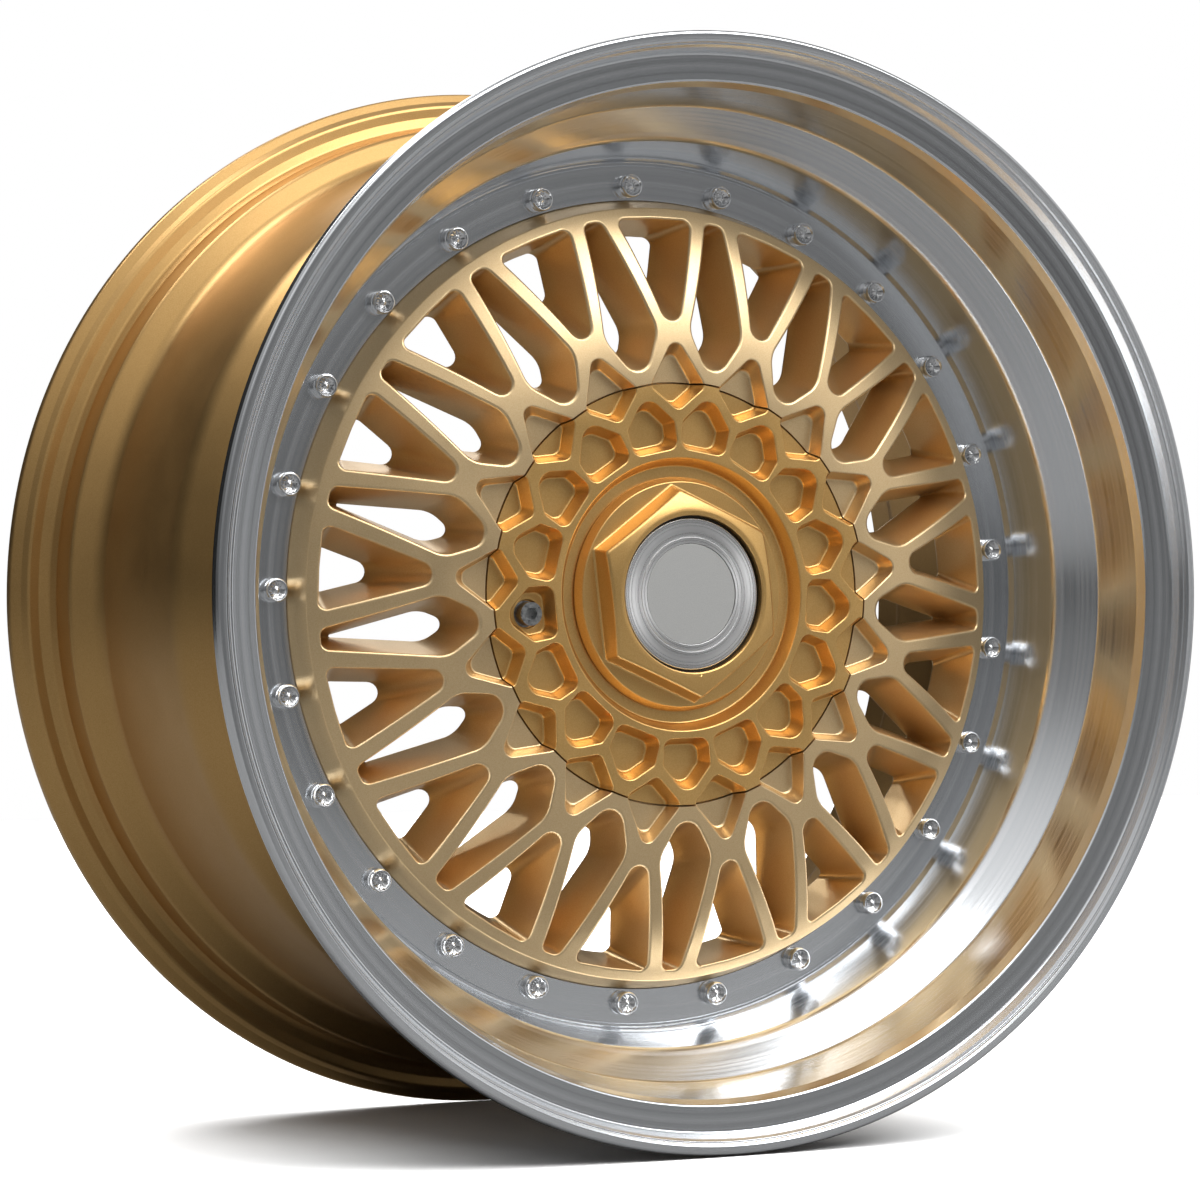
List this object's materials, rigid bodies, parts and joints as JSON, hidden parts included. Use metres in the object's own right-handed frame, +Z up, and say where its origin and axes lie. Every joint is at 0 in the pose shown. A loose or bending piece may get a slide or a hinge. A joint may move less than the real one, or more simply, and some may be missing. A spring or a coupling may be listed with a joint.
{
  "type": "forged racing wheel rim",
  "caption": "Three-piece forged wheel rim with a forked mesh disc, a deep polished outer lip and a hexagonal centre nut.",
  "frame": {"origin": "middle of the rim's width, on the axle line", "axes": "+Y along the axle towards the car, so the polished outer lip faces -Y; +Z up, through the valve; +X to the right as seen from outside the car"},
  "size_m": [0.4711, 0.2414, 0.4712],
  "materials": {
    "polished_lip": "polished",
    "champagne_barrel": "satin",
    "champagne_disc": "satin",
    "gold_cover": "satin",
    "gold_nut": "satin",
    "sealant": "satin",
    "bolt_steel": "satin",
    "stud_chrome": "polished",
    "seat_steel": "satin",
    "black_plastic": "matte",
    "carrier_aluminium": "satin",
    "brass_fitting": "satin",
    "black_rubber": "matte",
    "emblem_brushed": "satin",
    "emblem_matt": "matte"
  },
  "bodies": {
    "wheel": {"outer_lip": "polished_lip", "inner_barrel": "champagne_barrel", "centre_disc": "champagne_disc", "sealant_bead": "sealant", "assembly_bolts": "bolt_steel", "bolt_washers": "bolt_steel", "spiked_nuts": "stud_chrome", "lug_seats": "seat_steel", "spigot_ring": "black_plastic", "threaded_carrier": "carrier_aluminium", "carrier_screws": "bolt_steel", "screw_insert": "brass_fitting", "valve_stem": "brass_fitting", "valve_seal": "black_rubber", "valve_washer": "bolt_steel", "valve_nut": "bolt_steel", "valve_core": "brass_fitting", "valve_spring": "bolt_steel"},
    "cover": {"cover_plate": "gold_cover", "cover_gasket": "black_rubber"},
    "nut_slider": {"thrust_washer": "bolt_steel"},
    "nut": {"hex_nut": "gold_nut", "emblem_cup": "black_plastic", "emblem_clip": "bolt_steel", "emblem_disc": "emblem_brushed", "emblem_inlay": "emblem_matt"},
    "screw_slider": {"screw_washer": "bolt_steel"},
    "screw": {"cover_screw": "bolt_steel"},
    "cap_slider": {"valve_cap_seal": "black_rubber"},
    "cap": {"valve_cap": "black_plastic"},
    "pin": {"valve_pin": "brass_fitting"}
  },
  "joints": [
    {"name": "cover_lift", "type": "slide", "parent": "wheel", "child": "cover", "axis": [0, -1, 0], "range_m": [0, 0.11]},
    {"name": "nut_travel", "type": "slide", "parent": "cover", "child": "nut_slider", "axis": [0, -1, 0], "range_m": [0, 0.0141]},
    {"name": "nut_turn", "type": "hinge", "parent": "nut_slider", "child": "nut", "pos_m": [0, 0, 0], "axis": [0, -1, 0], "range_deg": [0, 2520]},
    {"name": "screw_travel", "type": "slide", "parent": "cover", "child": "screw_slider", "axis": [0, -1, 0], "range_m": [0, 0.016]},
    {"name": "screw_turn", "type": "hinge", "parent": "screw_slider", "child": "screw", "pos_m": [-0.07149, 0, -0.0086], "axis": [0, -1, 0], "range_deg": [0, 5770]},
    {"name": "valve_cap_travel", "type": "slide", "parent": "wheel", "child": "cap_slider", "axis": [0, 0, -1], "range_m": [0, 0.0085]},
    {"name": "valve_cap_turn", "type": "hinge", "parent": "cap_slider", "child": "cap", "pos_m": [0, 0.00735, 0.175], "axis": [0, 0, -1], "range_deg": [0, 3860]},
    {"name": "valve_pin_press", "type": "slide", "parent": "wheel", "child": "pin", "axis": [0, 0, 1], "range_m": [0, 0.0012], "stiffness_N_per_m": 300, "springref_m": -0.002, "deforming": ["valve_spring"]}
  ],
  "couplings": [
    {"joint": "nut_travel", "follows": "nut_turn", "m_per_rad": 0.00031831},
    {"joint": "screw_turn", "follows": "screw_travel", "rad_per_m": 6283.2},
    {"joint": "valve_cap_turn", "follows": "valve_cap_travel", "rad_per_m": 7913.3}
  ]
}
